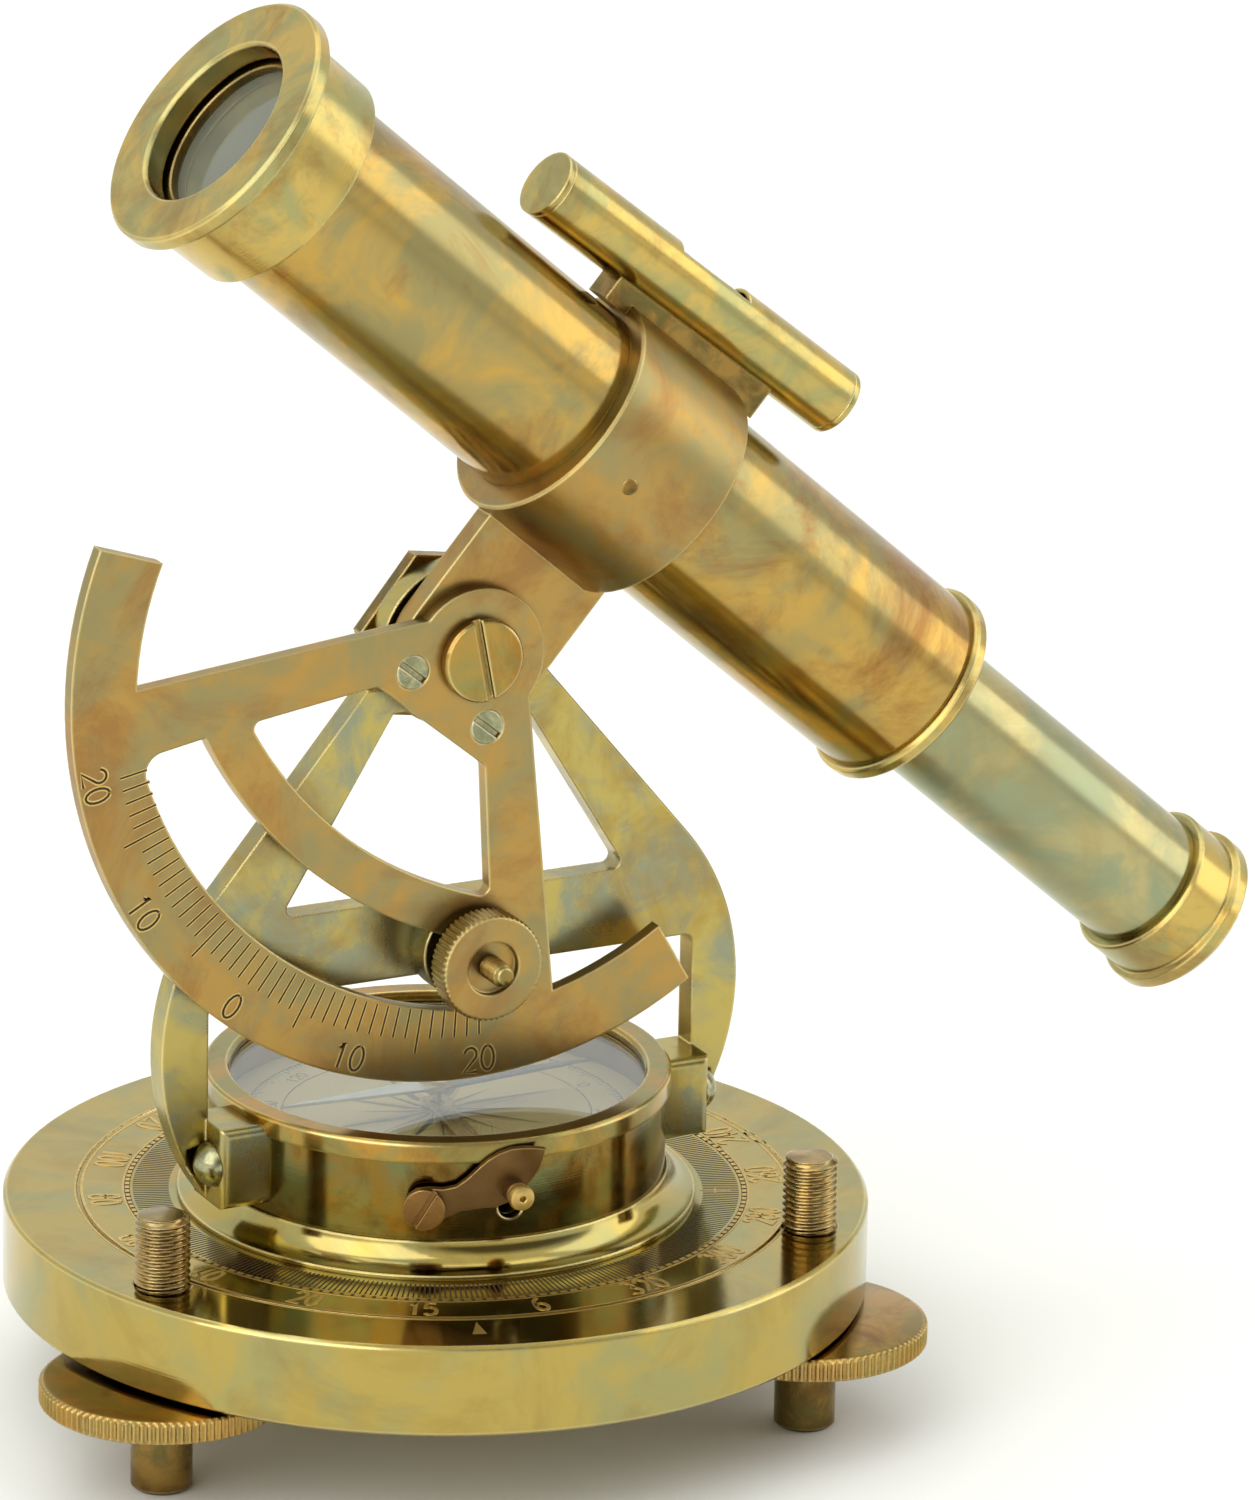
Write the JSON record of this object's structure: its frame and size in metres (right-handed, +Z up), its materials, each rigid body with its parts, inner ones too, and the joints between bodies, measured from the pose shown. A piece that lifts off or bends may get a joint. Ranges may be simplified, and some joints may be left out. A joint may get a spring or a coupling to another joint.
{
  "type": "theodolite",
  "caption": "Brass desk theodolite: round base on three levelling screws, compass box, A-shaped frame, graduated sector and tilting telescope with a draw tube and spirit level.",
  "frame": {"origin": "on the azimuth axis, in the plane of the three feet", "axes": "+Z up along the azimuth axis, +Y along the telescope's pivot away from the sector, +X to the side where the eyepiece points down at rest"},
  "size_m": [0.1961, 0.1343, 0.2101],
  "materials": {
    "brass_polished": "polished, aged lacquer",
    "brass_turned": "lathe turned, worn bright at the edges",
    "brass_satin": "satin, fine brushed",
    "brass_dark": "dull, tarnished",
    "bronze_dark": "dark brown patina",
    "glass_clear": "clear",
    "dial_paint": "cream matt paint with fine printed marks",
    "steel_blued": "heat blued"
  },
  "bodies": {
    "base": {"base_plate": "brass_turned"},
    "upper": {"azimuth_bolt": "brass_polished", "azimuth_washer": "brass_dark", "compass_skirt": "brass_polished", "compass_box": "brass_polished", "compass_bezel": "brass_polished", "compass_glass": "glass_clear", "glass_seat_ring": "brass_dark", "compass_dial": "dial_paint", "dial_seat_ring": "brass_dark", "needle_pin": "steel_blued", "lug_screws": "brass_polished", "upright": "brass_satin", "clamp_stud": "brass_polished", "clamp_spacer": "brass_satin", "pivot_screw": "brass_polished", "pivot_washer": "brass_dark", "pivot_nut": "brass_dark", "lever_screw": "bronze_dark"},
    "telescope": {"sector": "brass_satin", "sector_screws": "brass_polished", "collar_bracket": "brass_satin", "main_tube": "brass_polished", "objective_cap": "brass_polished", "objective_lens": "glass_clear", "objective_ring": "brass_dark", "objective_seat": "brass_dark", "end_ring": "brass_polished", "level_case": "brass_polished", "level_end_caps": "brass_polished", "level_vial": "glass_clear", "level_packing": "brass_dark", "level_saddle": "brass_polished"},
    "draw": {"draw_tube": "brass_polished", "draw_piston_ring": "brass_dark", "eyepiece_cap": "brass_polished", "eye_lens": "glass_clear", "eye_lens_ring": "brass_dark"},
    "clamp": {"clamp_nut": "brass_satin"},
    "needle": {"compass_needle": "steel_blued", "needle_cap": "brass_polished"},
    "lever": {"lock_lever": "bronze_dark", "lever_pin": "brass_polished"},
    "lifter": {"needle_lifter": "brass_dark"},
    "foot_left": {"levelling_foot_left": "brass_dark"},
    "screw_left": {"levelling_rod_left": "brass_dark", "levelling_wheel_left": "brass_turned"},
    "foot_right": {"levelling_foot_right": "brass_dark"},
    "screw_right": {"levelling_rod_right": "brass_dark", "levelling_wheel_right": "brass_turned"},
    "foot_back": {"levelling_foot_back": "brass_dark"},
    "screw_back": {"levelling_rod_back": "brass_dark", "levelling_wheel_back": "brass_turned"}
  },
  "joints": [
    {"name": "azimuth", "type": "hinge", "parent": "base", "child": "upper", "pos_m": [0, 0, 0.0305], "axis": [0, 0, 1], "continuous": true},
    {"name": "elevation", "type": "hinge", "parent": "upper", "child": "telescope", "pos_m": [0, -0.008, 0.1143], "axis": [0, 1, 0], "range_deg": [-78, 0]},
    {"name": "draw_slide", "type": "slide", "parent": "telescope", "child": "draw", "axis": [0.7559, 0, -0.6547], "range_m": [-0.0525, 0.0115]},
    {"name": "clamp_turn", "type": "hinge", "parent": "upper", "child": "clamp", "pos_m": [0, -0.0155, 0.0697], "axis": [0, -1, 0], "range_deg": [0, 360]},
    {"name": "needle_spin", "type": "hinge", "parent": "upper", "child": "needle", "pos_m": [0, 0, 0.0453], "axis": [0, 0, 1], "continuous": true},
    {"name": "lock_lever_turn", "type": "hinge", "parent": "upper", "child": "lever", "pos_m": [-0.01585, -0.02895, 0.0406], "axis": [-0.4802, -0.8771, 0], "range_deg": [-15, 0]},
    {"name": "needle_lift", "type": "slide", "parent": "upper", "child": "lifter", "axis": [0, 0, 1], "range_m": [0, 0.00121]},
    {"name": "levelling_slide_left", "type": "slide", "parent": "base", "child": "foot_left", "axis": [0, 0, 1], "range_m": [-0.01001, 0.00051]},
    {"name": "levelling_turn_left", "type": "hinge", "parent": "foot_left", "child": "screw_left", "pos_m": [-0.05187, -0.01888, 0.01465], "axis": [0, 0, 1], "range_deg": [-3600, 180]},
    {"name": "levelling_slide_right", "type": "slide", "parent": "base", "child": "foot_right", "axis": [0, 0, 1], "range_m": [-0.01001, 0.00051]},
    {"name": "levelling_turn_right", "type": "hinge", "parent": "foot_right", "child": "screw_right", "pos_m": [0.04229, -0.03548, 0.01465], "axis": [0, 0, 1], "range_deg": [-3600, 180]},
    {"name": "levelling_slide_back", "type": "slide", "parent": "base", "child": "foot_back", "axis": [0, 0, 1], "range_m": [-0.01001, 0.00051]},
    {"name": "levelling_turn_back", "type": "hinge", "parent": "foot_back", "child": "screw_back", "pos_m": [0.00959, 0.05436, 0.01465], "axis": [0, 0, 1], "range_deg": [-3600, 180]}
  ],
  "couplings": [
    {"joint": "needle_lift", "follows": "lock_lever_turn", "m_per_rad": -0.004584},
    {"joint": "levelling_slide_left", "follows": "levelling_turn_left", "m_per_rad": 0.00015915},
    {"joint": "levelling_slide_right", "follows": "levelling_turn_right", "m_per_rad": 0.00015915},
    {"joint": "levelling_slide_back", "follows": "levelling_turn_back", "m_per_rad": 0.00015915}
  ]
}
